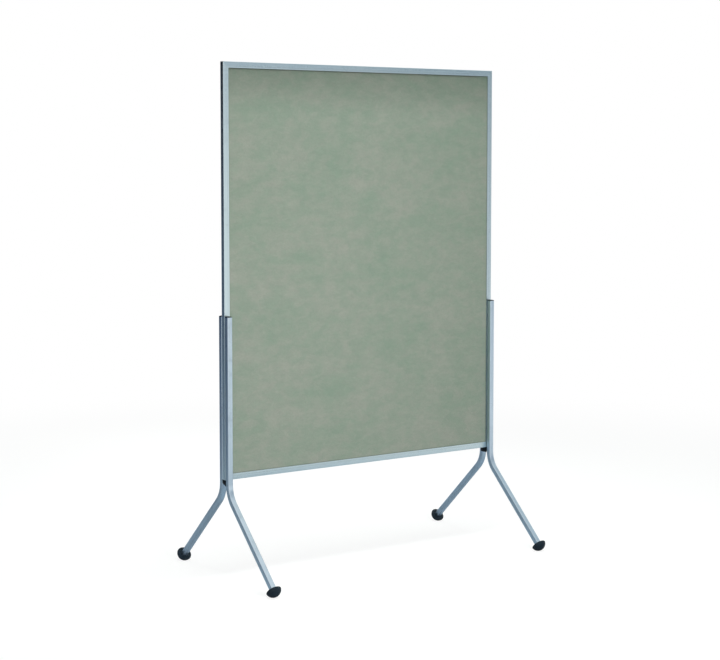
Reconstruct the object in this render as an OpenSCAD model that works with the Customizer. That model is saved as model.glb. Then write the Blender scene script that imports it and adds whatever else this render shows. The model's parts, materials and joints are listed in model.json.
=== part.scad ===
// Free-standing fabric divider panel: a felt-covered pin board in an aluminium
// frame, held at each end between two bent square tubes with dome feet.
// X runs along the panel, -Y is its front, +Z is up, and Z = 0 is the floor.

/* [Panel] */
// Width of the framed panel, outside to outside
panel_w = 1220; // [700:1:1600]
// Height of the framed panel, outside to outside
panel_h = 1500; // [900:1:1800]
// Height of the panel's lower edge above the floor, panel fully down
panel_z = 360; // [320:1:520]

/* [Frame rails] */
// Depth of a rail, front to back
rail_depth = 20; // [16:0.5:30]
// Wall of the rail's extrusion
rail_wall = 1.5; // [1:0.1:2]
// Radius of the rail's two outer edges
rail_edge_r = 1; // [0.5:0.5:4]
// Flat land between a bolt slot and the rail's web
slot_land = 1.7; // [1:0.1:4]
// How far the rail's lips reach over the board
lip_w = 5.5; // [4:0.5:10]

/* [Corner joints] */
// Length of each arm of a corner key, from the chamber's corner
key_arm = 45; // [30:1:60]
// Gap all round a corner key in its chamber
key_gap = 0.1; // [0.05:0.05:0.3]
// Shank of a corner screw
corner_screw_d = 4; // [3:0.5:5]
// Head of a corner screw
corner_screw_head_d = 7; // [6:0.5:9]
// How far a corner screw reaches into its key
corner_screw_bite = 8; // [5:0.5:11]
// Distance from the frame's outer corner to a corner screw
corner_screw_at = 34; // [24:1:40]

/* [Board] */
// Thickness of one felt sheet
felt_t = 1.2; // [0.8:0.1:2]
// Gap on each side of a felt sheet
felt_gap = 0.3; // [0.2:0.05:0.4]
// Gap between the board's edge and the floor of its channel
board_gap = 1; // [0.5:0.1:1.5]

/* [Legs] */
// Side of the square leg tube
tube = 20; // [18:0.5:24]
// Wall of the leg tube
tube_wall = 1.5; // [1:0.1:2]
// Corner radius of the leg tube
tube_corner_r = 3; // [2:0.25:4]
// Gap between a rail and each of the two tubes beside it
rail_gap = 2; // [1:0.25:4]
// How far the tubes reach up beside the panel
leg_overlap = 590; // [560:1:750]
// Distance between the front and rear feet, from dome centre to dome centre
foot_spread = 640; // [420:1:760]
// Radius of the leg bend, on the tube's centre line
bend_r = 100; // [60:1:140]
// How far below the panel the bend starts
bend_drop = 12; // [12:1:40]
// How much thinner bending draws the wall, on each of its faces
bend_draw = 0.05; // [0.03:0.01:0.15]

/* [Feet and caps] */
// Radius of a dome foot
foot_r = 28.5; // [20:0.5:35]
// How far beyond the dome's centre its top face is cut
foot_cut = 5.5; // [0:0.5:8]
// Height cut off the dome where it stands on the floor
foot_flat = 0.5; // [0.3:0.1:1]
// Wall of the foot's low collar around the tube
collar_wall = 2; // [1.5:0.25:3.5]
// Height of the foot's collar
collar_h = 1.5; // [1:0.5:6]
// Length of the plug inside the tube
plug_len = 26; // [15:1:40]
// Gap all round a plug in its tube
plug_gap = 0.1; // [0.05:0.05:0.3]
// Thickness of a tube cap at its middle
cap_t = 4; // [3:0.5:6]
// Radius of a tube cap's domed top
cap_dome_r = 35; // [28:1:80]

/* [Stop blocks] */
// Height of a block at its deep end
block_deep = 22; // [17:0.5:30]
// Height of a block at its shallow end
block_shallow = 12; // [11:0.5:16]
// Thickness of the block's cheek on the inner side of a tube
cheek_t = 2; // [1:0.25:4]
// Height of the cheek
cheek_h = 18; // [10:0.5:20]
// How far the cheek reaches along the tube's side
cheek_reach = 10; // [5:0.5:18]

/* [Height adjustment] */
// How far the panel can be raised
travel = 150; // [50:1:170]
// Diameter of a cross bolt
bolt_d = 6; // [5:0.5:6]
// Gap around a bolt in the tube's holes and in the block
bolt_gap = 0.25; // [0.1:0.05:0.5]
// Gap on each side of a bolt in its slot
slot_gap = 0.3; // [0.1:0.05:0.5]
// Head of a cross bolt
bolt_head_d = 10.5; // [9:0.5:13]
// Height of a cross bolt's head
bolt_head_h = 3.3; // [2:0.1:4]
// Flat crown of a cross bolt's head
bolt_crown_d = 6.3; // [5.8:0.1:8]
// Size of the hexagon key socket, across flats
socket_af = 4; // [2.5:0.5:5]
// How far a bolt stops short of its rivet nut's end
bolt_short = 1; // [0:0.5:3]
// Body of a rivet nut
nut_d = 9; // [8:0.5:9.5]
// Length of a rivet nut
nut_len = 12; // [8:0.5:15]
// Bulge of a rivet nut behind the tube wall
nut_bulge_d = 11; // [10:0.5:13]
// Length of that bulge
nut_bulge_len = 2; // [1:0.5:4]
// Gap between a bolt and its rivet nut
thread_gap = 0.05; // [0.02:0.01:0.1]
// Outside of a slide washer
washer_d = 14; // [12:0.5:16]
// Gap on each face of a slide washer
washer_gap = 0.1; // [0.05:0.01:0.2]
// Distance of the upper bolts below the tube tops
upper_bolt_drop = 45; // [30:1:70]
// Distance of the lower bolts above the panel's lower edge, panel fully down
lower_bolt_rise = 215; // [70:1:260]
// Distance of the block's bolt below the panel
block_bolt_drop = 6.5; // [5:0.5:8]

/* [Hidden] */
$fn = 64;

// Sides of the object
LEFT = -1;
RIGHT = 1;
FRONT = -1;
REAR = 1;
// Overshoot of a cut past the face that it opens
cut = 1;

// Distance from a rail's outer side to the bolts' centre line
bolt_in = tube / 2;
// Rail: the chamber that the slots open, then a web, then the channel that holds the board
slot_r = bolt_d / 2 + slot_gap;
web_in = bolt_in + slot_r + slot_land;
chamber_w = web_in - rail_wall;
channel_in = web_in + rail_wall;
channel_w = rail_depth - 2 * rail_wall;
rail_face = channel_in + lip_w;
// Board: core, and one felt on each side of it, inside the channel
board_w = panel_w - 2 * (channel_in + board_gap);
board_h = panel_h - 2 * (channel_in + board_gap);
board_z = panel_z + channel_in + board_gap;
core_t = channel_w - 2 * (felt_t + 2 * felt_gap);
felt_y = core_t / 2 + felt_gap;
// Legs: flush with the panel's outer side, one tube in front and one behind
leg_x = (panel_w - tube) / 2;
tube_gap = rail_depth + 2 * rail_gap;
tube_y = (tube_gap + tube) / 2;
leg_top = panel_z + leg_overlap;
bend_z = panel_z - bend_drop;
// The splayed part runs straight from the end of the bend to the dome's centre
foot_y = foot_spread / 2;
foot_z = foot_r - foot_flat;
reach_y = foot_y - tube_y - bend_r;
reach_z = foot_z - bend_z;
splay_len = sqrt(reach_y * reach_y + reach_z * reach_z - bend_r * bend_r);
bend_angle = atan2(reach_z, reach_y) - atan2(-splay_len, -bend_r);
bore = tube - 2 * tube_wall;
bore_r = max(tube_corner_r - tube_wall, 0.5);
// Heights of the bolts that slide in the side rails
upper_bolt_z = leg_top - upper_bolt_drop;
lower_bolt_z = panel_z + lower_bolt_rise;
clamp_z = [lower_bolt_z, upper_bolt_z];
block_bolt_z = panel_z - block_bolt_drop;
cross_z = [block_bolt_z, lower_bolt_z, upper_bolt_z];
// How far the bolts reach past the front tube's rear face
bolt_tip = nut_len - bolt_short;
// Length of straight tube at each end of the bend that the drawn wall runs on into
bend_lap = 1;

// A square with rounded corners, centred
module rounded_square(side, r) {
  square([side - 2 * r, side], center = true);
  square([side, side - 2 * r], center = true);
  for (x = [-1, 1], y = [-1, 1])
    translate([x * (side / 2 - r), y * (side / 2 - r)]) circle(r);
}

// Section of a rail: its outer side on X = 0, its channel opening towards +X
module rail_section() {
  difference() {
    union() {
      translate([rail_edge_r, -rail_depth / 2]) square([rail_face - rail_edge_r, rail_depth]);
      translate([0, -rail_depth / 2 + rail_edge_r]) square([rail_edge_r + cut, rail_depth - 2 * rail_edge_r]);
      for (y = [-1, 1]) translate([rail_edge_r, y * (rail_depth / 2 - rail_edge_r)]) circle(rail_edge_r);
    }
    translate([rail_wall, -channel_w / 2]) square([chamber_w, channel_w]);
    translate([channel_in, -channel_w / 2]) square([rail_face, channel_w]);
  }
}

// A countersunk hole through a rail's web, for a corner screw
module web_hole() {
  translate([web_in - cut, 0, 0]) rotate([0, 90, 0])
    cylinder(d = corner_screw_d + 2 * thread_gap, h = rail_wall + 2 * cut);
  translate([web_in, 0, 0]) rotate([0, 90, 0])
    cylinder(d1 = corner_screw_d, d2 = corner_screw_head_d, h = rail_wall);
}

// A rail of a given length, mitred at both ends, running along Z from the origin
module rail(length) {
  difference() {
    intersection() {
      linear_extrude(length) rail_section();
      translate([0, rail_depth / 2 + cut, 0]) rotate([90, 0, 0]) linear_extrude(rail_depth + 2 * cut)
        polygon([[-cut, -cut], [-cut, length + cut], [0, length],
                 [rail_face, length - rail_face], [rail_face, rail_face], [0, 0]]);
    }
    for (z = [corner_screw_at, length - corner_screw_at]) translate([0, 0, z]) web_hole();
  }
}

// The slots in a left side rail that the clamp bolts slide in
module rail_slots() {
  for (z = clamp_z) translate([bolt_in, 0, z - panel_z]) {
    for (end = [0, -travel]) translate([0, rail_depth / 2 + cut, end]) rotate([90, 0, 0])
      cylinder(r = slot_r, h = rail_depth + 2 * cut);
    translate([-slot_r, -rail_depth / 2 - cut, -travel]) cube([2 * slot_r, rail_depth + 2 * cut, travel]);
  }
}

module top_rail() {
  color("lightsteelblue") translate([-panel_w / 2, 0, panel_z + panel_h]) rotate([0, 90, 0]) rail(panel_w);
}

module bottom_rail() {
  color("lightsteelblue") translate([panel_w / 2, 0, panel_z]) rotate([0, -90, 0]) rail(panel_w);
}

module side_rail(side) {
  color("lightsteelblue") mirror([side == RIGHT ? 1 : 0, 0, 0]) translate([-panel_w / 2, 0, panel_z])
    difference() {
      rail(panel_h);
      rail_slots();
    }
}

// Places something drawn for the lower left corner at any corner of the frame
module at_corner(side, top) {
  mirror([side == RIGHT ? 1 : 0, 0, 0])
    translate([-panel_w / 2, 0, top ? panel_z + panel_h : panel_z])
      mirror([0, 0, top ? 1 : 0]) children();
}

// Where the two screws of the lower left corner sit, each along its own +X
module at_corner_screws() {
  translate([0, 0, corner_screw_at]) children();
  translate([corner_screw_at, 0, 0]) rotate([0, -90, 0]) children();
}

module corner_key(side, top) {
  arm_w = chamber_w - 2 * key_gap;
  arm_t = channel_w - 2 * key_gap;
  start = rail_wall + key_gap;
  color("silver") at_corner(side, top) difference() {
    union() {
      translate([start, -arm_t / 2, start]) cube([arm_w, arm_t, key_arm]);
      translate([start, -arm_t / 2, start]) cube([key_arm, arm_t, arm_w]);
    }
    at_corner_screws() translate([web_in - corner_screw_bite, 0, 0]) rotate([0, 90, 0])
      cylinder(d = corner_screw_d + 2 * thread_gap, h = corner_screw_bite + cut);
  }
}

module corner_screws() {
  color("gainsboro") for (side = [LEFT, RIGHT], top = [false, true]) at_corner(side, top)
    at_corner_screws() {
      translate([web_in - corner_screw_bite + cut, 0, 0]) rotate([0, 90, 0])
        cylinder(d = corner_screw_d, h = corner_screw_bite);
      translate([web_in, 0, 0]) rotate([0, 90, 0])
        cylinder(d1 = corner_screw_d, d2 = corner_screw_head_d - 2 * thread_gap, h = rail_wall - thread_gap);
    }
}

// A sheet as large as the board, its near face at a given Y
module board_sheet(y, t) {
  translate([-board_w / 2, y, board_z]) cube([board_w, t, board_h]);
}

module core_board() {
  color("burlywood") board_sheet(-core_t / 2, core_t);
}

module felt(face) {
  color("darkseagreen") board_sheet(face == FRONT ? -felt_y - felt_t : felt_y, felt_t);
}

// Section of the leg tube, its wall drawn thinner by some amount on each face
module tube_section(drawn = 0) {
  difference() {
    rounded_square(tube - 2 * drawn, tube_corner_r - drawn);
    rounded_square(bore + 2 * drawn, bore_r + drawn);
  }
}

// Places something drawn for the left rear leg at any of the four legs
module at_leg(side, face) {
  translate([side * leg_x, 0, 0]) mirror([0, face == FRONT ? 1 : 0, 0]) children();
}

// Places something at the centre of the rear leg's dome, its +Z pointing up along the tube
module at_foot() {
  translate([0, foot_y, foot_z]) rotate([bend_angle, 0, 0]) children();
}

// Holes of the cross bolts: through both walls of a rear tube, or a rivet nut's seat in a front tube
module leg_holes(face) {
  for (z = cross_z) translate([0, tube_y, z]) rotate([90, 0, 0])
    if (face == REAR)
      translate([0, 0, -tube / 2 - cut]) cylinder(d = bolt_d + 2 * bolt_gap, h = tube + 2 * cut);
    else
      cylinder(d = nut_d, h = tube / 2 + cut);
}

module leg(side, face) {
  color("silver") at_leg(side, face) difference() {
    union() {
      translate([0, tube_y, bend_z - bend_lap])
        linear_extrude(leg_top - bend_z + bend_lap) tube_section();
      translate([0, tube_y + bend_r, bend_z]) rotate([0, 90, 0]) rotate([0, 0, -90])
        rotate_extrude(angle = bend_angle) translate([bend_r, 0]) tube_section(bend_draw);
      at_foot() translate([0, 0, -foot_cut])
        linear_extrude(foot_cut + splay_len + bend_lap) tube_section();
    }
    leg_holes(face);
  }
}

// A dome foot square to the tube, with a low collar around the tube and a plug inside it
module foot(side, face) {
  color("darkslategray") at_leg(side, face) difference() {
    at_foot() {
      difference() {
        sphere(foot_r);
        translate([0, 0, foot_r + cut - foot_cut]) cube(2 * (foot_r + cut), center = true);
      }
      translate([0, 0, -foot_cut]) {
        linear_extrude(collar_h) difference() {
          rounded_square(tube + 2 * collar_wall, tube_corner_r + collar_wall);
          rounded_square(tube, tube_corner_r);
        }
        linear_extrude(plug_len) rounded_square(bore - 2 * plug_gap, bore_r);
      }
    }
    translate([0, foot_y, -foot_r]) cube(2 * foot_r, center = true);
  }
}

// A tube cap: a low dome on the tube's end, with a plug inside the tube
module cap(side, face) {
  color("darkslategray") at_leg(side, face) translate([0, tube_y, leg_top]) {
    intersection() {
      linear_extrude(cap_t + cut) rounded_square(tube, tube_corner_r);
      translate([0, 0, cap_t - cap_dome_r]) sphere(cap_dome_r, $fn = 128);
    }
    translate([0, 0, -plug_len]) linear_extrude(plug_len + cut) rounded_square(bore - 2 * plug_gap, bore_r);
  }
}

// A stop block between the two tubes, one moulding turned half round for the other end.
// Its deep end is at the front on the left, with a cheek on the tube's inner side there.
module stop_block(side) {
  color("darkslategray") rotate([0, 0, side == RIGHT ? 180 : 0]) translate([-leg_x, 0, panel_z])
    difference() {
      union() {
        rotate([90, 0, 90]) translate([0, 0, -tube / 2]) linear_extrude(tube)
          polygon([[-tube_gap / 2, 0], [tube_gap / 2, 0],
                   [tube_gap / 2, -block_shallow], [-tube_gap / 2, -block_deep]]);
        translate([tube / 2, -tube_gap / 2 - cheek_reach, -cheek_h - cheek_t])
          cube([cheek_t, cheek_reach + tube_gap, cheek_h]);
      }
      translate([0, tube_gap / 2 + cut, -block_bolt_drop]) rotate([90, 0, 0])
        cylinder(d = bolt_d + 2 * bolt_gap, h = tube_gap + 2 * cut);
    }
}

// The cross bolts of one end: button heads behind the rear tube, tips in the front tube
module cross_bolts(side) {
  head_y = tube_y + tube / 2;
  tip_y = -tube_gap / 2 - bolt_tip;
  color("gainsboro") for (z = cross_z) translate([side * leg_x, head_y, z]) rotate([90, 0, 0]) {
    cylinder(d = bolt_d, h = head_y - tip_y);
    difference() {
      translate([0, 0, -bolt_head_h]) cylinder(d1 = bolt_crown_d, d2 = bolt_head_d, h = bolt_head_h);
      translate([0, 0, -bolt_head_h - cut]) cylinder(d = socket_af / cos(30), h = bolt_head_h / 2 + cut, $fn = 6);
    }
  }
}

// The rivet nuts in the rear wall of one end's front tube
module rivet_nuts(side) {
  color("silver") for (z = cross_z) translate([side * leg_x, -tube_gap / 2, z]) rotate([90, 0, 0])
    difference() {
      union() {
        cylinder(d = nut_d, h = nut_len);
        translate([0, 0, tube_wall]) cylinder(d = nut_bulge_d, h = nut_bulge_len);
      }
      translate([0, 0, -cut]) cylinder(d = bolt_d + 2 * thread_gap, h = nut_len + 2 * cut);
    }
}

// The slide washers of one end: one on each side of the rail, on each clamp bolt
module slide_washers(side) {
  t = rail_gap - 2 * washer_gap;
  color("whitesmoke") for (z = clamp_z, face = [FRONT, REAR])
    translate([side * leg_x, face * (rail_depth / 2 + rail_gap / 2), z]) rotate([90, 0, 0])
      difference() {
        cylinder(d = washer_d, h = t, center = true);
        cylinder(d = bolt_d + 2 * bolt_gap, h = t + cut, center = true);
      }
}

top_rail();
bottom_rail();
side_rail(LEFT);  // left_side_rail
side_rail(RIGHT);  // right_side_rail
corner_key(LEFT, true);  // corner_key_top_left
corner_key(RIGHT, true);  // corner_key_top_right
corner_key(LEFT, false);  // corner_key_bottom_left
corner_key(RIGHT, false);  // corner_key_bottom_right
corner_screws();
core_board();
felt(FRONT);  // front_felt
felt(REAR);  // rear_felt
leg(LEFT, FRONT);  // left_front_leg
leg(LEFT, REAR);  // left_rear_leg
cap(LEFT, FRONT);  // left_front_cap
cap(LEFT, REAR);  // left_rear_cap
foot(LEFT, FRONT);  // left_front_foot
foot(LEFT, REAR);  // left_rear_foot
stop_block(LEFT);  // left_stop_block
cross_bolts(LEFT);  // left_cross_bolts
rivet_nuts(LEFT);  // left_rivet_nuts
slide_washers(LEFT);  // left_slide_washers
leg(RIGHT, FRONT);  // right_front_leg
leg(RIGHT, REAR);  // right_rear_leg
cap(RIGHT, FRONT);  // right_front_cap
cap(RIGHT, REAR);  // right_rear_cap
foot(RIGHT, FRONT);  // right_front_foot
foot(RIGHT, REAR);  // right_rear_foot
stop_block(RIGHT);  // right_stop_block
cross_bolts(RIGHT);  // right_cross_bolts
rivet_nuts(RIGHT);  // right_rivet_nuts
slide_washers(RIGHT);  // right_slide_washers
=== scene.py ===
"""Dresses the packed model of a free-standing fabric divider panel.

The CAD frame stays as it is. Each operator builds one kind of piece around it, in metres, in its own place.
"""
import json
import math

import bmesh
import bpy
from mathutils import Euler, Matrix, Vector, noise


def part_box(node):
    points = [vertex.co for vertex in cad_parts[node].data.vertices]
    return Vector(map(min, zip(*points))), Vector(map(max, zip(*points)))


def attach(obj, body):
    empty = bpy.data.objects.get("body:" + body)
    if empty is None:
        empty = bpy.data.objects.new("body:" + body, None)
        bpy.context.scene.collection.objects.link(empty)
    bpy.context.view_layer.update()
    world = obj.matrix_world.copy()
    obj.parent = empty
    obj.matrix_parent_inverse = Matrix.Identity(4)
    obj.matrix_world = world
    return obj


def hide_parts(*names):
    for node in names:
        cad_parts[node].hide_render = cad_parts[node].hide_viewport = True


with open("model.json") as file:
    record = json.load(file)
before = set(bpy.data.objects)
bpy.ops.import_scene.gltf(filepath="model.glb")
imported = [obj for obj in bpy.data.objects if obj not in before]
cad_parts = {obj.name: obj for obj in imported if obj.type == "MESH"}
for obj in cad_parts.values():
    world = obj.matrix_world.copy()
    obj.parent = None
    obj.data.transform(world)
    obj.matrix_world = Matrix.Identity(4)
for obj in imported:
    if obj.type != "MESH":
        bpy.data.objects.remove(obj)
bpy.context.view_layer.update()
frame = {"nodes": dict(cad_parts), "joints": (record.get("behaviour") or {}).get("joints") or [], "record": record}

bl_info = {
    "name": "Fabric divider panel",
    "version": (1, 0, 0),
    "blender": (4, 5, 0),
    "location": "3D View > Sidebar > Divider",
    "description": "Builds the rails, felt, legs, feet and fittings of a free-standing fabric divider panel",
    "category": "Object",
}

SIDES = {"left": -1, "right": 1}
FACES = {"front": -1, "rear": 1}
BODIES = frame["record"]["behaviour"]["bodies"]
TRAVEL = frame["joints"][0]["range_m"][1]

# What the packed boxes say about the frame
PANEL_LOW, PANEL_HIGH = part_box("left_side_rail")[0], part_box("right_side_rail")[1]
PANEL_SIZE = PANEL_HIGH - PANEL_LOW
RAIL_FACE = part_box("left_side_rail")[1].x - PANEL_LOW.x
TUBE_LOW, TUBE_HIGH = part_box("right_rear_cap")
TUBE_SIDE = TUBE_HIGH.x - TUBE_LOW.x
LEG_X = (TUBE_HIGH.x + TUBE_LOW.x) / 2
TUBE_Y = (TUBE_HIGH.y + TUBE_LOW.y) / 2
TUBE_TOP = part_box("right_rear_leg")[1].z
RAIL_GAP = TUBE_LOW.y - PANEL_SIZE.y / 2
WASHER_LOW, WASHER_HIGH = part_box("right_slide_washers")
WASHER_RADIUS = (WASHER_HIGH.x - WASHER_LOW.x) / 2
CLAMP_HEIGHTS = (WASHER_LOW.z + WASHER_RADIUS, WASHER_HIGH.z - WASHER_RADIUS)
BOLT_LOW, BOLT_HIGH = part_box("right_cross_bolts")
HEAD_RADIUS = (BOLT_HIGH.x - BOLT_LOW.x) / 2
BLOCK_LOW, BLOCK_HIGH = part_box("left_stop_block")
FELT_LOW, FELT_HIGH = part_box("rear_felt")

# Gap between a moulded or turned piece and what it fits
PLAY = 0.0001
WHITE = (1.0, 1.0, 1.0, 1.0)


def linear(red, green, blue):
    """A colour written in 0 to 255 as the eye sees it, as the light that it stands for."""
    shares = (value / 255 for value in (red, green, blue))
    return tuple(((share + 0.055) / 1.055) ** 2.4 if share > 0.04 else share / 12.92 for share in shares)


def number(name, description, default, **settings):
    return bpy.props.FloatProperty(name=name, description=description, default=default, **settings)


def metres(name, description, default):
    return number(name, description, default, min=0.0, max=10.0, precision=5, subtype="DISTANCE",
                  unit="LENGTH")


def degrees(name, description, default):
    return number(name, description, math.radians(default), subtype="ANGLE", unit="ROTATION")


def watts(name, description, default):
    return number(name, description, default, min=0.0, subtype="POWER", unit="POWER")


def amount(name, description, default, high=1.0):
    return number(name, description, default, min=0.0, max=high, subtype="FACTOR" if high == 1.0 else "NONE")


def tone(name, description, red, green, blue):
    return bpy.props.FloatVectorProperty(name=name, description=description, default=linear(red, green, blue),
                                         subtype="COLOR", size=3, min=0.0, max=1.0)


class RailSettings(bpy.types.PropertyGroup):
    """Sizes of the frame's rails."""
    wall: metres("Wall", "Wall of the rail's extrusion", 0.0015)
    web_in: metres("Web", "Distance from the outer side to the web", 0.015)
    edge_radius: metres("Edge radius", "Radius of the two outer edges", 0.001)
    slot_radius: metres("Slot radius", "Half the width of a bolt slot", 0.0033)
    bevel: metres("Bevel", "Broken edge of the sawn and extruded corners", 0.0002)


class FeltSettings(bpy.types.PropertyGroup):
    """How the felt lies on its board."""
    swell: metres("Swell", "How far the felt stands up beside the rail's lips", 0.0002)
    swell_width: metres("Swell width", "Width over which it comes up from under the lips", 0.007)
    waviness: metres("Waviness", "How far the felt strays from flat", 0.00015)
    lap: metres("Lap", "How far the sheet runs under the lips", 0.0045)
    # The felt's darker line along the lips is painted shade: a darker base colour that stands in for the shadow
    # under the lips.
    edge_width: metres("Edge width", "Width of the darker line along the lips", 0.0035)
    painted_edge_shade: amount("Edge shade", "How much darker the felt is where it dips under the lips", 0.5)


class LegSettings(bpy.types.PropertyGroup):
    """Sizes of the bent tubes, their feet and their caps."""
    wall: metres("Wall", "Wall of the tube", 0.0015)
    corner_radius: metres("Corner radius", "Radius of the tube's corners", 0.003)
    bend_radius: metres("Bend radius", "Radius of the bend on the tube's centre line", 0.1)
    bend_drop: metres("Bend drop", "How far below the panel the bend starts", 0.012)
    foot_spread: metres("Foot spread", "Distance between the front and rear domes' centres", 0.64)
    foot_radius: metres("Foot radius", "Radius of a dome foot", 0.0285)
    foot_flat: metres("Foot flat", "Height cut off the dome where it stands", 0.0005)
    foot_cut: metres("Foot cut", "How far beyond its centre the dome's top face lies", 0.0055)
    cap_height: metres("Cap height", "Height of a tube cap at its middle", 0.004)
    cap_radius: metres("Cap radius", "Radius of a tube cap's domed top", 0.035)


class FittingSettings(bpy.types.PropertyGroup):
    """Sizes of the stop blocks, bolts and washers."""
    block_shallow: metres("Block, shallow end", "Height of a stop block at its shallow end", 0.012)
    block_bevel: metres("Block bevel", "Broken edge of a stop block", 0.0007)
    cheek_inset: metres("Cheek inset", "How far the cheek stays from the block's top and bottom", 0.002)
    cheek_overlap: metres("Cheek overlap", "How far the cheek runs into the block", 0.0005)
    shank_radius: metres("Shank radius", "Radius of a cross bolt", 0.003)
    shank_chamfer: metres("Shank chamfer", "Chamfer at a cross bolt's end", 0.0008)
    head_height: metres("Head height", "Height of a bolt's head", 0.0033)
    head_edge: metres("Head edge", "Height at which the head's straight edge turns into its dome", 0.0006)
    crown_radius: metres("Crown radius", "Flat crown of a bolt's head", 0.0032)
    socket: metres("Socket", "Size of the hexagon key socket, across flats", 0.004)
    washer_bore: metres("Washer bore", "Radius of a slide washer's hole", 0.00325)
    washer_edge: metres("Washer edge", "Rounding of a slide washer's edges", 0.00025)


class FinishSettings(bpy.types.PropertyGroup):
    """Colours of the finishes."""
    felt_dark: tone("Felt, green", "The greener clouds of the felt", 145, 164, 147)
    felt_light: tone("Felt, grey", "The greyer clouds of the felt", 167, 171, 160)
    aluminium: tone("Aluminium", "The rails' anodised surface", 209, 226, 229)
    silver: tone("Silver", "The tubes' silver coat", 196, 213, 224)
    plastic: tone("Plastic", "Caps and stop blocks", 15, 21, 25)
    rubber: tone("Rubber", "Dome feet", 20, 33, 42)
    zinc: tone("Zinc", "Bolts, nuts and screws", 190, 194, 200)
    nylon: tone("Nylon", "Slide washers", 226, 225, 218)
    board: tone("Fibre board", "The core behind the felt", 168, 142, 108)


class StageSettings(bpy.types.PropertyGroup):
    """Camera, lamps and floor."""
    camera_place: bpy.props.FloatVectorProperty(
        name="Camera place", description="Where the camera stands", default=(-3.528, -5.133, 1.534),
        subtype="TRANSLATION", unit="LENGTH", size=3)
    camera_turn: degrees("Camera turn", "How far the camera looks to the right of straight on", 34.38)
    camera_dip: degrees("Camera dip", "How far the camera looks down", 4.034)
    lens: number("Lens", "Focal length", 82.55, unit="CAMERA")
    shift: number("Shift", "Vertical shift of the picture", -0.0833)
    ambient: amount("Ambient", "Strength of the even light from all round", 0.27, 4.0)
    key_power: watts("Key lamp", "Power of the key lamp", 25.4)
    top_power: watts("Top lamp", "Power of the top lamp", 91.0)
    rear_power: watts("Rear lamp", "Power of the rear lamp", 30.0)
    floor_shade: amount("Floor shade", "How much of the object's shadow the floor keeps", 0.3)
    floor_lift: amount("Floor lift", "Light added to the floor outside the shadow", 0.3)
    floor_depth: amount("Floor depth", "How much of the floor's own grey a gloss shows", 0.86)


SETTINGS = {
    "divider_rails": RailSettings,
    "divider_felt": FeltSettings,
    "divider_legs": LegSettings,
    "divider_fittings": FittingSettings,
    "divider_finish": FinishSettings,
    "divider_stage": StageSettings,
}


class Net:
    """Adds nodes to a tree, with a value or another node's output given for each input."""

    def __init__(self, tree):
        self.tree = tree

    def node(self, kind, given=None, **settings):
        made = self.tree.nodes.new(kind)
        for name, value in settings.items():
            setattr(made, name, value)
        for socket, value in (given or {}).items():
            if isinstance(value, bpy.types.NodeSocket):
                self.tree.links.new(value, made.inputs[socket])
            else:
                made.inputs[socket].default_value = value
        return made

    def add(self, kind, given=None, out=0, **settings):
        return self.node(kind, given, **settings).outputs[out]

    def group(self, tree, **given):
        return self.node("ShaderNodeGroup", given, node_tree=tree).outputs

    def maths(self, operation, a, b=0.0, c=0.0):
        return self.add("ShaderNodeMath", {0: a, 1: b, 2: c}, operation=operation)

    def times(self, a, b):
        return self.maths("MULTIPLY", a, b)

    def fused(self, a, b, c):
        """a times b, plus c."""
        return self.maths("MULTIPLY_ADD", a, b, c)

    def off_middle(self, value):
        """How far a noise lies from its middle value."""
        return self.maths("ABSOLUTE", self.maths("SUBTRACT", value, 0.5))

    def spread(self, value, low, high, to_low=0.0, to_high=1.0, smooth=True):
        """A value carried from one range to another, held at its ends."""
        return self.add("ShaderNodeMapRange", {0: value, 1: low, 2: high, 3: to_low, 4: to_high},
                        interpolation_type="SMOOTHSTEP" if smooth else "LINEAR")

    def between(self, value, low, high):
        return self.spread(value, 0.0, 1.0, low, high)

    def vector(self, x=0.0, y=0.0, z=0.0):
        return self.add("ShaderNodeCombineXYZ", {0: x, 1: y, 2: z})

    def split(self, vector):
        return self.node("ShaderNodeSeparateXYZ", {0: vector}).outputs

    def scaled(self, vector, factors):
        return self.add("ShaderNodeVectorMath", {0: vector, 1: factors}, operation="MULTIPLY")

    def distance(self, vector, point=(0.0, 0.0, 0.0)):
        return self.add("ShaderNodeVectorMath", {0: vector, 1: point}, out=1, operation="DISTANCE")

    def noise(self, vector, scale, detail=2.0, roughness=0.5, distortion=0.0):
        return self.add("ShaderNodeTexNoise", {"Vector": vector, "Scale": scale, "Detail": detail,
                                               "Roughness": roughness, "Distortion": distortion})

    def blend(self, share, a, b):
        return self.add("ShaderNodeMix", {0: share, 6: a, 7: b}, out=2, data_type="RGBA", clamp_result=True)

    def tinted(self, colour, tint, share):
        return self.add("ShaderNodeMix", {0: share, 6: colour, 7: tint}, out=2, data_type="RGBA",
                        blend_type="MULTIPLY")

    def marked(self, colour, mask, share, tint):
        """A colour that goes to a tint by a share of a mask."""
        return self.blend(self.times(mask, share), colour, (*tint, 1.0))

    def varied(self, colour, value, low, high):
        """A colour from a darker to a lighter share of itself, as the value goes from 0 to 1."""
        shades = [tuple(min(1.0, c * share) for c in colour) + (1.0,) for share in (low, high)]
        return self.blend(value, *shades)

    def either(self, share, a, b):
        return self.add("ShaderNodeMixShader", {0: share, 1: a, 2: b})

    def matt(self, colour):
        return self.add("ShaderNodeBsdfDiffuse", {"Color": colour})

    def glow(self, colour, strength=1.0):
        return self.add("ShaderNodeEmission", {"Color": colour, "Strength": strength})

    def object_place(self):
        return self.add("ShaderNodeTexCoord", out=3)

    def lie_place(self):
        """The place along and across a drawn piece, kept in its mesh when it was made."""
        return self.add("ShaderNodeAttribute", out=1, attribute_name="lie")


# The node trees and the finishes' materials that have been made, by name and by slot
MADE = {}


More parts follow.
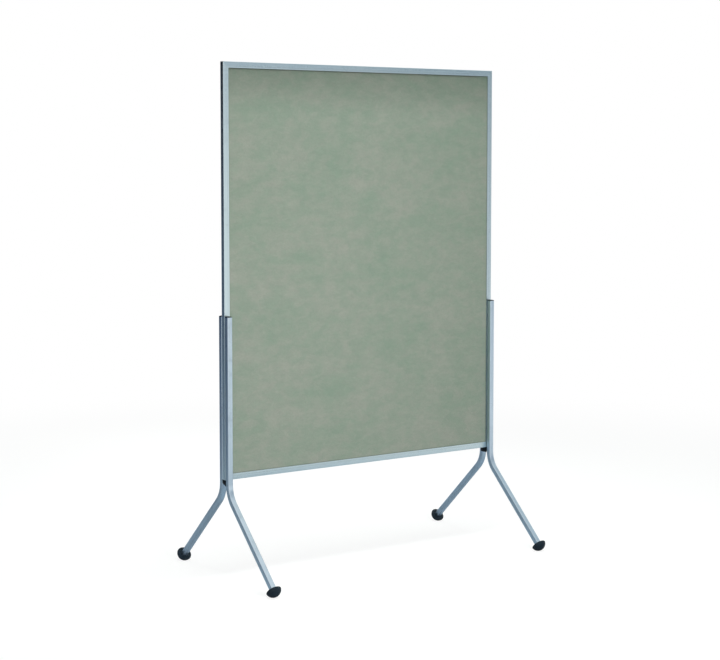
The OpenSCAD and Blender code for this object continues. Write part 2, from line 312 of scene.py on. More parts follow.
def new_tree(kind, name, inputs, outputs):
    """An empty node tree. Each input has its default, or its kind of socket where it has none."""
    tree = bpy.data.node_groups.new(name, kind)
    for label, default in inputs.items():
        socket = {float: "Float", int: "Int", tuple: "Vector"}.get(type(default), default)
        made = tree.interface.new_socket(label, in_out="INPUT", socket_type="NodeSocket" + socket)
        if default != socket:
            made.default_value = default
    socket = "Float" if kind == "ShaderNodeTree" else "Geometry"
    for label in outputs:
        tree.interface.new_socket(label, in_out="OUTPUT", socket_type="NodeSocket" + socket)
    return tree


def tree_of(kind, name, inputs, *outputs):
    """Makes a function that fills a tree, and returns its outputs in order, into one that gives the tree.

    The tree is built once, when it is first asked for.
    """
    def wrap(fill):
        def give():
            if name not in MADE:
                tree = MADE[name] = new_tree(kind, name, inputs, outputs)
                results = fill(Net(tree), tree.nodes.new("NodeGroupInput").outputs)
                for value, socket in zip(results, tree.nodes.new("NodeGroupOutput").inputs):
                    tree.links.new(value, socket)
            return MADE[name]
        return give
    return wrap


@tree_of("ShaderNodeTree", "Clouding", {"Vector": "Vector", "Size": 0.25, "Stretch": (1.0, 1.0, 1.0)},
         "Clouds", "Blotches", "Specks")
def clouding(net, given):
    """Soft clouds in three sizes."""
    place = net.scaled(given["Vector"], given["Stretch"])
    per_metre = net.maths("DIVIDE", 1.0, given["Size"])
    return [net.spread(net.noise(place, net.times(per_metre, finer), *detail), 0.3, 0.7) for finer, detail in
            ((1.0, (3.0, 0.55, 0.6)), (4.3, (4.0, 0.62, 0.3)), (31.0, (3.0, 0.6)))]


@tree_of("ShaderNodeTree", "Fibres", {"Vector": "Vector", "Length": 0.004, "Slimness": 9.0},
         "Shade", "Height")
def fibres(net, given):
    """Matted fibres lying every way, as shade and as height."""
    per_metre = net.maths("DIVIDE", 1.0, given["Length"])
    stretch = net.vector(per_metre, per_metre, net.times(per_metre, given["Slimness"]))
    shade, height = 0.0, 0.0
    for turn, share in ((0.3, 1.0), (1.25, 0.9), (2.2, 0.95), (2.9, 0.8)):
        turned = net.add("ShaderNodeMapping", {"Vector": given["Vector"],
                                               "Rotation": (0.2 * turn, turn, 0.1)})
        strand = net.noise(net.scaled(turned, stretch), 1.0, 1.5, 0.5, 0.8)
        shade = net.fused(strand, 0.25, shade)
        height = net.maths("MAXIMUM", net.spread(net.off_middle(strand), 0.0, 0.08, share, 0.0), height)
    return net.spread(shade, 0.4, 0.6), height


@tree_of("ShaderNodeTree", "Drawn lines", {"Vector": "Vector", "Fineness": 1400.0, "Run": 3.0},
         "Lines", "Bands")
def drawn_lines(net, given):
    """Fine lines along a drawn or extruded piece, whose Z runs along it, and broad bands of them."""
    made = []
    for across, along, detail in ((1.0, 1.0, (3.0, 0.65)), (0.16, 0.25, (2.0, 0.5))):
        fineness = net.times(given["Fineness"], across)
        lie = net.vector(fineness, fineness, net.times(given["Run"], along))
        made.append(net.spread(net.noise(net.scaled(given["Vector"], lie), 1.0, *detail), 0.35, 0.65))
    return made


@tree_of("ShaderNodeTree", "Skin", {"Vector": "Vector", "Grain": 0.0008, "Pits": 0.5}, "Height", "Drift")
def skin_of_coat(net, given):
    """The fine skin of a coat or moulding: its height, and a slow drift of its gloss."""
    per_metre = net.maths("DIVIDE", 1.0, given["Grain"])
    peel = net.noise(given["Vector"], per_metre)
    pits = net.add("ShaderNodeTexVoronoi", {"Vector": given["Vector"], "Scale": net.times(per_metre, 1.7)})
    height = net.fused(net.spread(pits, 0.0, 0.5), given["Pits"], peel)
    return height, net.spread(net.noise(given["Vector"], 14.0, 4.0, 0.6), 0.35, 0.65)


@tree_of("ShaderNodeTree", "Handling wear", {"Vector": "Vector", "Scratches": 0.5}, "Smudges", "Scratches")
def handling_wear(net, given):
    """Handling marks: soft smudges, and short fine scratches."""
    marks = 0.0
    for turn, scale in ((0.5, 60.0), (1.9, 85.0)):
        turned = net.add("ShaderNodeMapping", {"Vector": given["Vector"], "Rotation": (turn, 0.7 * turn, 0.4),
                                               "Scale": (1.0, 14.0, 1.0)})
        line = net.off_middle(net.noise(turned, scale, 1.0, 0.4, 0.3))
        marks = net.maths("MAXIMUM", net.spread(line, 0.0, 0.006, 1.0, 0.0), marks)
    patch = net.spread(net.noise(given["Vector"], 9.0), 0.5, 0.7)
    smudges = net.spread(net.noise(given["Vector"], 22.0, 5.0, 0.65, 1.2), 0.52, 0.72)
    return smudges, net.times(net.times(marks, patch), given["Scratches"])


FINISHES = {}


def finish(slot, **constants):
    """Keeps a function as the finish of one of the record's slots, with the plain numbers of its shader.

    The function returns a colour, a roughness, and a relief with its strength and distance.
    """
    def keep(fill):
        FINISHES[slot] = (fill, constants)
        return fill
    return keep


def finish_of(slot):
    """The material of one of the record's slots, made once."""
    if slot not in MADE:
        fill, constants = FINISHES[slot]
        material = MADE[slot] = bpy.data.materials.new(slot + "_finish")
        material.use_nodes = True
        net = Net(material.node_tree)
        shader = net.tree.nodes["Principled BSDF"].inputs
        for socket, value in constants.items():
            shader[socket.replace("_", " ")].default_value = value
        colour, rough, relief = fill(net, net.object_place(), bpy.context.scene.divider_finish)
        bump = net.add("ShaderNodeBump", dict(zip(("Height", "Strength", "Distance"), relief)))
        for socket, value in (("Base Color", colour), ("Roughness", rough), ("Normal", bump)):
            net.tree.links.new(value, shader[socket])
    return MADE[slot]


def skin_and_wear(net, place, grain, pits, scratches):
    return (net.group(skin_of_coat(), Vector=place, Grain=grain, Pits=pits),
            net.group(handling_wear(), Vector=place, Scratches=scratches))


def worn_metal(net, wear, colour, rough, height, share, tint, polish, cut):
    """A metal surface with its handling marks: smudges dull it, and scratches polish and cut it."""
    rough = net.fused(wear["Scratches"], -polish, net.fused(wear["Smudges"], 0.1, rough))
    return net.marked(colour, wear["Smudges"], share, tint), rough, net.fused(wear["Scratches"], -cut, height)


def outside_painted_shade(net, place):
    """1 over the open felt, falling to 0 where it dips under the rails' lips. It masks the painted shade along the
    lips.
    """
    felt = bpy.context.scene.divider_felt
    middle, half = (FELT_HIGH + FELT_LOW) / 2, (FELT_HIGH - FELT_LOW) / 2
    axes = net.split(place)
    side, end = (net.maths("SUBTRACT", half[axis] - felt.lap, net.maths("ABSOLUTE", net.maths(
        "SUBTRACT", axes[axis], middle[axis]))) for axis in (0, 2))
    return net.spread(net.maths("MINIMUM", side, end), 0.0, felt.edge_width)


@finish("felt", Specular_IOR_Level=0.12, Sheen_Weight=0.25, Sheen_Roughness=0.5,
        Sheen_Tint=(0.82, 0.9, 0.84, 1.0))
def mottled_felt(net, place, tones):
    cloud = net.group(clouding(), Vector=place, Size=0.21, Stretch=(0.8, 1.0, 1.25))
    fibre = net.group(fibres(), Vector=place, Length=0.0042, Slimness=9.0)
    hue = net.fused(cloud["Blotches"], 0.55, net.times(cloud["Clouds"], 0.45))
    ground = net.blend(hue, (*tones.felt_dark, 1.0), (*tones.felt_light, 1.0))
    nap = net.spread(net.noise(net.scaled(place, (0.7, 1.0, 1.4)), 46.0, 4.0, 0.65, 0.4), 0.3, 0.7)
    value = net.fused(cloud["Specks"], 0.35, net.times(nap, 0.65))
    # Painted shade: the felt's colour is darkened along the rails' lips, where their shadow falls.
    painted_shade = (1.0 - bpy.context.scene.divider_felt.painted_edge_shade,) * 3
    for mask, shade, share in ((value, (0.925, 0.927, 0.93), 1.0), (outside_painted_shade(net, place), painted_shade, 1.0),
                               (fibre["Shade"], (0.8, 0.82, 0.8), 0.8)):
        ground = net.tinted(ground, net.blend(mask, (*shade, 1.0), WHITE), share)
    lumps = net.fused(cloud["Specks"], 0.6, fibre["Height"])
    return ground, net.between(fibre["Shade"], 0.98, 0.88), (lumps, 0.55, 0.0004)


@finish("frame_aluminium", Metallic=1.0)
def anodised_aluminium(net, place, tones):
    drawn = net.group(drawn_lines(), Vector=net.lie_place(), Fineness=1500.0, Run=2.5)
    wear = net.group(handling_wear(), Vector=place, Scratches=0.5)
    bands = net.fused(drawn["Bands"], 0.65, net.times(drawn["Lines"], 0.35))
    colour, rough, height = worn_metal(
        net, wear, net.varied(tones.aluminium, bands, 0.9, 1.06), net.between(drawn["Lines"], 0.27, 0.4),
        drawn["Lines"], 0.12, (0.3, 0.34, 0.36), 0.08, 0.6)
    return colour, rough, (height, 0.12, 0.0001)


@finish("tube_silver", Metallic=1.0)
def silver_coat(net, place, tones):
    skin, wear = skin_and_wear(net, place, 0.0011, 0.2, 0.8)
    drawn = net.group(drawn_lines(), Vector=net.lie_place(), Fineness=700.0, Run=1.6)
    flakes = net.spread(net.noise(place, 2600.0, 1.0), 0.45, 0.7)
    sparkle = net.fused(flakes, 0.35, net.times(drawn["Bands"], 0.65))
    colour, rough, height = worn_metal(
        net, wear, net.varied(tones.silver, sparkle, 0.92, 1.07), net.between(skin["Drift"], 0.28, 0.38),
        skin["Height"], 0.16, (0.26, 0.3, 0.32), 0.12, 0.8)
    return colour, rough, (height, 0.14, 0.00012)


@finish("black_plastic", Specular_IOR_Level=0.15)
def moulded_plastic(net, place, tones):
    skin, wear = skin_and_wear(net, place, 0.0005, 0.8, 0.9)
    colour = net.varied(tones.plastic, skin["Drift"], 0.85, 1.25)
    colour = net.marked(colour, wear["Scratches"], 0.5, (0.09, 0.1, 0.11))
    rough = net.fused(wear["Smudges"], -0.12, net.between(skin["Drift"], 0.46, 0.58))
    return colour, rough, (skin["Height"], 0.35, 0.00015)


@finish("foot_rubber", Specular_IOR_Level=0.25)
def scuffed_rubber(net, place, tones):
    skin, wear = skin_and_wear(net, place, 0.0007, 0.4, 1.0)
    ragged = net.fused(net.noise(place, 240.0, 4.0, 0.6), 0.008, net.split(place)[2])
    tread = net.spread(ragged, 0.0045, 0.013, 1.0, 0.0)
    dust = net.times(tread, net.spread(net.noise(place, 900.0, 3.0, 0.7), 0.3, 0.7, 0.35, 1.0))
    colour = net.varied(tones.rubber, skin["Drift"], 0.85, 1.3)
    colour = net.marked(colour, dust, 0.42, (0.16, 0.16, 0.15))
    colour = net.marked(colour, wear["Scratches"], 0.45, (0.1, 0.11, 0.115))
    rough = net.fused(dust, 0.25, net.between(skin["Drift"], 0.44, 0.56))
    return colour, rough, (skin["Height"], 0.3, 0.0002)


@finish("zinc_steel", Metallic=1.0)
def zinc_plate(net, place, tones):
    skin, wear = skin_and_wear(net, place, 0.0004, 0.3, 1.0)
    colour = net.varied(tones.zinc, skin["Drift"], 0.82, 1.0)
    colour = net.marked(colour, wear["Smudges"], 0.35, (0.34, 0.35, 0.37))
    rough = net.fused(wear["Smudges"], 0.16, net.spread(skin["Height"], 0.2, 1.2, 0.22, 0.36))
    return colour, rough, (skin["Height"], 0.12, 0.0001)


@finish("key_aluminium", Metallic=1.0)
def mill_aluminium(net, place, tones):
    skin, wear = skin_and_wear(net, place, 0.0009, 0.9, 0.6)
    rough = net.fused(wear["Smudges"], 0.12, net.between(skin["Drift"], 0.4, 0.6))
    return net.varied(tones.zinc, skin["Drift"], 0.6, 0.78), rough, (skin["Height"], 0.3, 0.0002)


@finish("white_nylon", Specular_IOR_Level=0.45)
def natural_nylon(net, place, tones):
    skin, wear = skin_and_wear(net, place, 0.0005, 0.3, 0.7)
    colour = net.varied(tones.nylon, skin["Drift"], 0.94, 1.0)
    colour = net.marked(colour, wear["Smudges"], 0.3, (0.45, 0.45, 0.42))
    return colour, net.between(skin["Drift"], 0.34, 0.46), (skin["Height"], 0.12, 0.0001)


@finish("fibre_board", Specular_IOR_Level=0.2)
def soft_board(net, place, tones):
    cloud = net.group(clouding(), Vector=place, Size=0.12)
    fibre = net.group(fibres(), Vector=place, Length=0.003, Slimness=7.0)
    mottle = net.fused(fibre["Shade"], 0.5, net.times(cloud["Blotches"], 0.5))
    rough = net.between(cloud["Specks"], 0.8, 0.95)
    return net.varied(tones.board, mottle, 0.72, 1.15), rough, (fibre["Height"], 0.5, 0.0004)


def rounded_outline(net, width, height, radius, count):
    outline = net.add("GeometryNodeCurvePrimitiveQuadrilateral", {"Width": width, "Height": height})
    return net.add("GeometryNodeFilletCurve", {"Curve": outline, "Count": count, "Radius": radius,
                                               "Limit Radius": True}, mode="POLY")


def pushed_out(net, outline, offset):
    """A closed solid from a flat outline and the way that it is pushed."""
    faces = net.add("GeometryNodeFillCurve", {"Curve": outline}, mode="NGONS")
    pushed = net.add("GeometryNodeExtrudeMesh", {"Mesh": faces, "Offset": offset, "Offset Scale": 1.0,
                                                 "Individual": False}, mode="FACES")
    both = net.node("GeometryNodeJoinGeometry", {0: pushed})
    net.tree.links.new(net.add("GeometryNodeFlipFaces", {"Mesh": faces}), both.inputs[0])
    return net.add("GeometryNodeMergeByDistance", {"Geometry": both.outputs[0], "Distance": 1e-6})


def handed_over(net, geometry, material, lie=None):
    """The end of each tree: real geometry, smooth, with its material and, where given, its lie."""
    if lie:
        geometry = net.add("GeometryNodeStoreNamedAttribute", {
            "Geometry": geometry, "Name": "lie", "Value": lie}, data_type="FLOAT_VECTOR", domain="POINT")
    real = net.add("GeometryNodeRealizeInstances", {"Geometry": geometry})
    smooth = net.add("GeometryNodeSetShadeSmooth", {"Geometry": real, "Shade Smooth": True}, domain="FACE")
    return [net.add("GeometryNodeSetMaterial", {"Geometry": smooth, "Material": material})]


@tree_of("GeometryNodeTree", "Mitred rail",
         {"Section": "Geometry", "Length": 1.0, "Depth": 0.02, "Slots": 0, "Slot Radius": 0.003,
          "Slot Run": 0.15, "Slot In": 0.01, "Lowest Slot": 0.1, "Slot Pitch": 0.3, "Finish": "Material"},
         "Rail")
def mitred_rail(net, given):
    """A mitred rail along +Z from the outline of its section, with bolt slots through it where it has any."""
    position = net.add("GeometryNodeInputPosition")
    outline = net.add("GeometryNodeMeshToCurve", {"Mesh": given["Section"]})
    rail = pushed_out(net, outline, net.vector(z=given["Length"]))
    place = net.split(position)
    upper = net.maths("GREATER_THAN", place[2], net.times(given["Length"], 0.5))
    mitre = net.vector(z=net.times(net.fused(upper, -2.0, 1.0), place[0]))
    rail = net.add("GeometryNodeSetPosition", {"Geometry": rail, "Offset": mitre})
    width = net.times(given["Slot Radius"], 2.0)
    stadium = rounded_outline(net, width, net.maths("ADD", given["Slot Run"], width), given["Slot Radius"], 8)
    cutter = pushed_out(net, stadium, net.vector(z=net.times(given["Depth"], 2.0)))
    cutter = net.add("GeometryNodeTransform", {"Geometry": cutter, "Rotation": (math.pi / 2, 0, 0),
                                               "Translation": net.vector(y=given["Depth"])})
    places = net.add("GeometryNodeMeshLine", {
        "Count": given["Slots"], "Start Location": net.vector(x=given["Slot In"], z=given["Lowest Slot"]),
        "Offset": net.vector(z=given["Slot Pitch"])})
    cutters = net.add("GeometryNodeInstanceOnPoints", {"Points": places, "Instance": cutter})
    cutters = net.add("GeometryNodeRealizeInstances", {"Geometry": cutters})
    rail = net.add("GeometryNodeMeshBoolean", {0: rail, 1: cutters}, operation="DIFFERENCE", solver="EXACT")
    return handed_over(net, rail, given["Finish"], position)


@tree_of("GeometryNodeTree", "Bent tube",
         {"Base": "Geometry", "Side": 0.02, "Corner Radius": 0.003, "Bend Radius": 0.1, "Bend Angle": 0.8,
          "Upright": 0.6, "Splay": 0.3, "Facing": 1.0, "Steps": 32, "Finish": "Material"}, "Tube")
def bent_tube(net, given):
    """A square tube that runs down, bends and splays, swept along its path."""
    radius, bend, steps = given["Bend Radius"], given["Bend Angle"], given["Steps"]
    count = net.maths("ADD", steps, 3.0)
    line = net.add("GeometryNodeMeshLine", {"Count": count, "Offset": (0.0, 0.0, -0.001)})
    index = net.add("GeometryNodeInputIndex")
    share = net.maths("DIVIDE", net.maths("SUBTRACT", index, 1.0), steps)
    angle = net.times(net.spread(share, 0.0, 1.0, smooth=False), bend)
    out = net.maths("SUBTRACT", radius, net.times(radius, net.maths("COSINE", angle)))
    down = net.maths("ADD", given["Upright"], net.times(radius, net.maths("SINE", angle)))
    down = net.times(down, net.maths("GREATER_THAN", index, 0.5))
    run = net.times(net.maths("GREATER_THAN", index, net.maths("ADD", steps, 1.5)), given["Splay"])
    out = net.maths("ADD", out, net.times(run, net.maths("SINE", bend)))
    down = net.maths("ADD", down, net.times(run, net.maths("COSINE", bend)))
    path = net.vector(y=net.times(out, given["Facing"]), z=net.times(down, -1.0))
    line = net.add("GeometryNodeSetPosition", {"Geometry": line, "Position": path})
    captured = []
    for geometry, kind, value in (
            (net.add("GeometryNodeMeshToCurve", {"Mesh": line}), "FLOAT",
             net.add("GeometryNodeSplineParameter", out=1)),
            (rounded_outline(net, given["Side"], given["Side"], given["Corner Radius"], 6), "VECTOR",
             net.add("GeometryNodeInputPosition"))):
        capture = net.tree.nodes.new("GeometryNodeCaptureAttribute")
        capture.capture_items.new(kind, "Value")
        net.tree.links.new(geometry, capture.inputs[0])
        net.tree.links.new(value, capture.inputs[1])
        captured.append(capture.outputs)
    (curve, along), (section, across) = (outputs[:2] for outputs in captured)
    skin = net.add("GeometryNodeCurveToMesh", {"Curve": curve, "Profile Curve": section, "Fill Caps": False})
    across = net.split(across)
    return handed_over(net, skin, given["Finish"], net.vector(across[0], across[1], along))


@tree_of("GeometryNodeTree", "Repeated fitting",
         {"Places": "Geometry", "Fitting": "Object", "Most Turn": 6.28, "Seed": 3, "Finish": "Material"},
         "Fittings")
def repeated_fitting(net, given):
    """One fitting at each point, each turned by chance about its own axis along Y."""
    fitting = net.add("GeometryNodeObjectInfo", {"Object": given["Fitting"]}, out=4)
    turn = net.add("FunctionNodeRandomValue", {3: given["Most Turn"], "Seed": given["Seed"]}, out=1,
                   data_type="FLOAT")
    placed = net.add("GeometryNodeInstanceOnPoints", {"Points": given["Places"], "Instance": fitting,
                                                      "Rotation": net.vector(y=turn)})
    return handed_over(net, placed, given["Finish"])


def mesh_of(name, points, faces=(), edges=()):
    mesh = bpy.data.meshes.new(name)
    mesh.from_pydata(points, edges, faces)
    return mesh


def solid(name, points, faces):
    """A closed mesh with its faces outwards."""
    bm = bmesh.new()
    made = [bm.verts.new(point) for point in points]
    for face in faces:
        bm.faces.new([made[i] for i in face])
    bmesh.ops.recalc_face_normals(bm, faces=bm.faces)
    mesh = bpy.data.meshes.new(name)
    bm.to_mesh(mesh)
    bm.free()
    return mesh


def put_in_scene(name, mesh):
    piece = bpy.data.objects.new(name, mesh)
    bpy.context.scene.collection.objects.link(piece)
    return piece


def kept(piece, modifiers=()):
    """Adds the last modifiers, each a kind and its settings, and keeps what they all make as a plain mesh."""
    for kind, settings in modifiers:
        extra = piece.modifiers.new(kind.title(), kind)
        for key, value in settings.items():
            setattr(extra, key, value)
    depsgraph = bpy.context.evaluated_depsgraph_get()
    mesh = bpy.data.meshes.new_from_object(piece.evaluated_get(depsgraph), preserve_all_data_layers=True,
                                           depsgraph=depsgraph)
    mesh.name = piece.name
    piece.modifiers.clear()
    piece.data = mesh
    if len(mesh.polygons) == 0:
        raise RuntimeError(f"{piece.name} came out empty")
    return piece


def grown(name, base, tree, values, modifiers=()):
    """Runs a tree and any finishing modifiers on a base mesh."""
    piece = put_in_scene(name, base)
    modifier = piece.modifiers.new("Shape", "NODES")
    modifier.node_group = tree
    for item in tree.interface.items_tree:
        if item.in_out == "INPUT" and item.name in values:
            modifier[item.identifier] = values[item.name]
    return kept(piece, modifiers)


def broken_edges(width, segments=2):
    """The settings of a small bevel on each sharp edge."""
    return ("BEVEL", {"width": width, "segments": segments, "limit_method": "ANGLE", "harden_normals": True,
                      "angle_limit": math.radians(34.0), "use_clamp_overlap": True})


def settle(piece, slot, node):
    """Makes a piece stand for its CAD node: it rides on its body, and the node is hidden. The slot argument is not
    used.
    """
    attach(piece, next(body for body, members in BODIES.items() if node in members))
    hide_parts(node)


def smooth(mesh, angle):
    mesh.shade_smooth()
    mesh.set_sharp_from_angle(angle=math.radians(angle))
    return mesh


def dressed(mesh, slot, node, angle=50.0):
    """A mesh as the piece that stands for a CAD node, smooth where its faces turn by less than an angle."""
    mesh.materials.append(finish_of(slot))
    piece = put_in_scene(mesh.name, smooth(mesh, angle))
    settle(piece, slot, node)
    return piece


def quarter(steps):
    """The angles that part a quarter turn into equal steps, from the first step's end on."""
    return [math.pi / 2 * (k + 1) / steps for k in range(steps)]


def ring(half, radius, height, steps=6):
    """A rounded square, by half its width, as points at a height. With radius equal to half, a circle."""
    points = []
    for quarter in range(4):
        middle = math.pi / 2 * quarter + math.pi / 4
        corner = Vector((math.cos(middle), math.sin(middle), 0)) * (half - radius) * math.sqrt(2)
        for step in range(steps):
            angle = math.pi / 2 * (quarter + (step + 0.5) / steps)
            points.append(corner + Vector((math.cos(angle) * radius, math.sin(angle) * radius, height)))
    return points


def rings(rows, half=0.0, radius=0.0, height=0.0, steps=6):
    """Rounded squares that are wider, rounder and higher than a first one by what each row says."""
    return [ring(half + wider, radius + rounder, height + higher, steps) for wider, rounder, higher in rows]


def circles(rows, steps=6):
    """Circles from rows of radius and height."""
    return [ring(radius, radius, height, steps) for radius, height in rows]


def lofted(name, rows, closed=False):
    """A solid through rings of as many points each, closed by a pole at each end, or from last to first."""
    count = len(rows[0])
    points = [point for row in rows for point in row]
    turn = [(i, (i + 1) % count) for i in range(count)]
    starts = [count * k for k in range(len(rows))]
    faces = [(low + i, low + j, high + j, high + i) for low, high in
             zip(starts, starts[1:] + ([0] if closed else [])) for i, j in turn]
    if not closed:
        for start, row in ((0, rows[0]), (starts[-1], rows[-1])):
            faces += [(start + i, start + j, len(points)) for i, j in turn]
            points.append(sum(row, Vector()) / count)
    return solid(name, points, faces)


def each_leg():
    """The name of each leg, the way it lies along X and along Y, and the place of its tube's top."""
    for side_name, side in SIDES.items():
        for face_name, face in FACES.items():
            top = Matrix.Translation((side * LEG_X, face * TUBE_Y, TUBE_TOP))
            yield f"{side_name}_{face_name}", side, face, top


def leg_path(legs):
    """The bend's angle, the splay's length to the dome, the dome's centre, and the height of the bend."""
    bend_z = PANEL_LOW.z - legs.bend_drop
    foot = Vector((0, legs.foot_spread / 2, legs.foot_radius - legs.foot_flat))
    reach_y = foot.y - TUBE_Y - legs.bend_radius
    reach_z = foot.z - bend_z
    length = math.sqrt(reach_y ** 2 + reach_z ** 2 - legs.bend_radius ** 2)
    angle = math.atan2(reach_z, reach_y) - math.atan2(-length, -legs.bend_radius)
    return angle, length, foot, bend_z


class DIVIDER_OT_rails(bpy.types.Operator):
    """Build the four mitred rails of the frame"""
    bl_idname = "divider.rails"
    bl_label = "Rails"

    def section(self, rails):
        half = PANEL_SIZE.y / 2
        inner, channel, edge, steps = half - rails.wall, rails.web_in + rails.wall, rails.edge_radius, 8
        outline = [(RAIL_FACE, -half), (RAIL_FACE, -inner), (channel, -inner), (channel, inner),
                   (RAIL_FACE, inner), (RAIL_FACE, half)]
        for middle, start in ((half - edge, 0.5), (edge - half, 1.0)):
            for step in range(steps + 1):
                angle = math.pi * (start + 0.5 * step / steps)
                outline.append((edge * (1 + math.cos(angle)), middle + edge * math.sin(angle)))
        chamber = [(rails.wall, -inner), (rails.web_in, -inner), (rails.web_in, inner), (rails.wall, inner)]
        points, edges = [], []
        for loop in (outline, chamber):
            first = len(points)
            points += [(x, y, 0) for x, y in loop]
            edges += [(first + i, first + (i + 1) % len(loop)) for i in range(len(loop))]
        return points, edges

    def execute(self, context):
        rails = context.scene.divider_rails
        points, edges = self.section(rails)
        width, height = PANEL_SIZE.x, PANEL_SIZE.z
        low, high = PANEL_LOW, PANEL_HIGH
        for node, length, start, turn, slots in (
                ("top_rail", width, (low.x, 0, high.z), (math.pi / 2, 4, "Y"), 0),
                ("bottom_rail", width, (high.x, 0, low.z), (-math.pi / 2, 4, "Y"), 0),
                ("left_side_rail", height, (low.x, 0, low.z), (0.0, 4, "Z"), 2),
                ("right_side_rail", height, (high.x, 0, low.z), (math.pi, 4, "Z"), 2)):
            section = mesh_of("section", points, edges=edges)
            piece = grown(node.replace("rail", "bar"), section, mitred_rail(), {
                "Length": length, "Depth": PANEL_SIZE.y, "Slots": slots, "Slot Radius": rails.slot_radius,
                "Slot Run": TRAVEL, "Slot In": TUBE_SIDE / 2,
                "Lowest Slot": CLAMP_HEIGHTS[0] - low.z - TRAVEL / 2,
                "Slot Pitch": CLAMP_HEIGHTS[1] - CLAMP_HEIGHTS[0], "Finish": finish_of("frame_aluminium"),
            }, [broken_edges(rails.bevel)])
            piece.data.transform(Matrix.Translation(start) @ Matrix.Rotation(*turn))
            settle(piece, "frame_aluminium", node)
        return {"FINISHED"}


class DIVIDER_OT_felts(bpy.types.Operator):
    """Build the two felt sheets, stretched over the board and held under the rails' lips"""
    bl_idname = "divider.felts"
    bl_label = "Felt sheets"
    # Squares of the sheet's grid along X and along Z
    across, up = 110, 136
    # How close the waves lie along X and along Z, and what parts the two faces' waves
    close_x, close_z, parting = 9, 7, 5

    def skin(self, felt, low, size, face, outer):
        """The points of one side of a sheet, row by row. The outer side swells up from the lips and waves."""
        y = low.y if (face < 0) == outer else low.y + size.y
        for k in range(self.up + 1):
            for i in range(self.across + 1):
                along, high = size.x * i / self.across, size.z * k / self.up
                x, z = low.x + along, low.z + high
                edge = min(along, size.x - along, high, size.z - high)
                rise = min(1.0, max(0.0, (edge - felt.lap) / felt.swell_width)) * outer
                spot = Vector((x * self.close_x, face * self.parting, z * self.close_z))
                wave = noise.noise(spot) * felt.waviness * rise
                yield x, y + face * (felt.swell * math.sin(math.pi / 2 * rise) + wave), z

    def execute(self, context):
        felt = context.scene.divider_felt
        across, up = self.across, self.up
        row, skin = across + 1, (across + 1) * (up + 1)
        squares = [(k * row + i, k * row + i + 1, (k + 1) * row + i + 1, (k + 1) * row + i)
                   for k in range(up) for i in range(across)]
        rim = [*range(row), *range(2 * row - 1, skin, row), *range(skin - 2, skin - row - 1, -1),
               *range(skin - 2 * row, 0, -row)]
        faces = squares + [tuple(skin + i for i in square) for square in squares]
        faces += [(a, b, skin + b, skin + a) for a, b in zip(rim, rim[1:] + rim[:1])]
        for face_name, face in FACES.items():
            node = face_name + "_felt"
            low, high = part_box(node)
            outside, inside = (list(self.skin(felt, low, high - low, face, outer)) for outer in (True, False))
            points = outside + inside
            piece = dressed(solid("felt_" + face_name, points, faces), "felt", node, 40.0)
        return {"FINISHED"}


class DIVIDER_OT_tubes(bpy.types.Operator):
    """Build the four bent leg tubes"""
    bl_idname = "divider.tubes"
    bl_label = "Leg tubes"

    def execute(self, context):
        legs = context.scene.divider_legs
        angle, length, _, bend_z = leg_path(legs)
        for name, _, face, top in each_leg():
            piece = grown(name + "_tube", mesh_of("start", [(0, 0, 0)]), bent_tube(), {
                "Side": TUBE_SIDE, "Corner Radius": legs.corner_radius, "Bend Radius": legs.bend_radius,
                "Bend Angle": angle, "Upright": TUBE_TOP - bend_z, "Splay": length + legs.foot_cut,
                "Facing": float(face), "Steps": 36, "Finish": finish_of("tube_silver"),
            }, [("SOLIDIFY", {"thickness": legs.wall, "offset": -1.0, "use_rim": True})])
            piece.data.transform(top)
            smooth(piece.data, 40.0)
            settle(piece, "tube_silver", name + "_leg")
        return {"FINISHED"}


class DIVIDER_OT_feet(bpy.types.Operator):
    """Build the four dome feet"""
    bl_idname = "divider.feet"
    bl_label = "Dome feet"
    # Rings of the plug in the tube, and of the collar from the tube's end out to the dome's top face
    plug = ((-0.001, 0.001, 0.026), (0.0, 0.0015, 0.025), (0.0, 0.0015, 0.0002))
    collar = ((-0.0006, 0.0, 0.0002), (0.0001, 0.0, 0.0004), (0.0002, 0.0, 0.0013), (0.0005, 0.0004, 0.0015),
              (0.0014, 0.0013, 0.0015), (0.0019, 0.0018, 0.0011), (0.0021, 0.002, 0.0005),
              (0.0027, 0.0027, 0.0001), (0.004, 0.004, 0.0))
    # The ring of the top face half way out, a rounded square by half its width and its corners' radius
    half_way = (0.0205, 0.017)
    # The rounded rim: its radius, how far it stays inside the dome's edge, and the flat and drop beside it
    fillet, inside, flat, drop = 0.0012, 0.0002, 0.0012, 0.0004
    # Steps round a quarter of the foot, and down its dome
    around, down = 12, 22

    def profile(self, legs):
        """Rings from the plug's end over the collar and the rounded rim down to the bottom of the dome."""
        half, cut, fillet, dome = TUBE_SIDE / 2, -legs.foot_cut, self.fillet, legs.foot_radius
        made = rings(self.plug, half - legs.wall - PLAY, 0.0, cut, self.around)
        made += rings(self.collar, half, legs.corner_radius, cut, self.around)
        made.append(ring(*self.half_way, cut, self.around))
        rim = math.sqrt(dome ** 2 - cut ** 2) - self.inside - fillet
        rows = [(rim - self.flat, cut)]
        rows += [(rim + fillet * math.sin(turn), cut - fillet + fillet * math.cos(turn))
                 for turn in quarter(4)]
        start = math.asin((fillet + self.drop - cut) / dome)
        for k in range(1, self.down):
            turn = start + (math.pi / 2 - start) * k / self.down
            rows.append((dome * math.cos(turn), -dome * math.sin(turn)))
        return made + circles(rows, self.around)

    def execute(self, context):
        legs = context.scene.divider_legs
        angle, _, foot, _ = leg_path(legs)
        for name, side, face, _ in each_leg():
            mesh = lofted(name + "_dome", self.profile(legs))
            place = Matrix.Translation((side * LEG_X, face * foot.y, foot.z))
            mesh.transform(place @ Euler((face * angle, 0, 0)).to_matrix().to_4x4())
            for vertex in mesh.vertices:
                vertex.co.z = max(vertex.co.z, 0.0)
            dressed(mesh, "foot_rubber", name + "_foot")
        return {"FINISHED"}


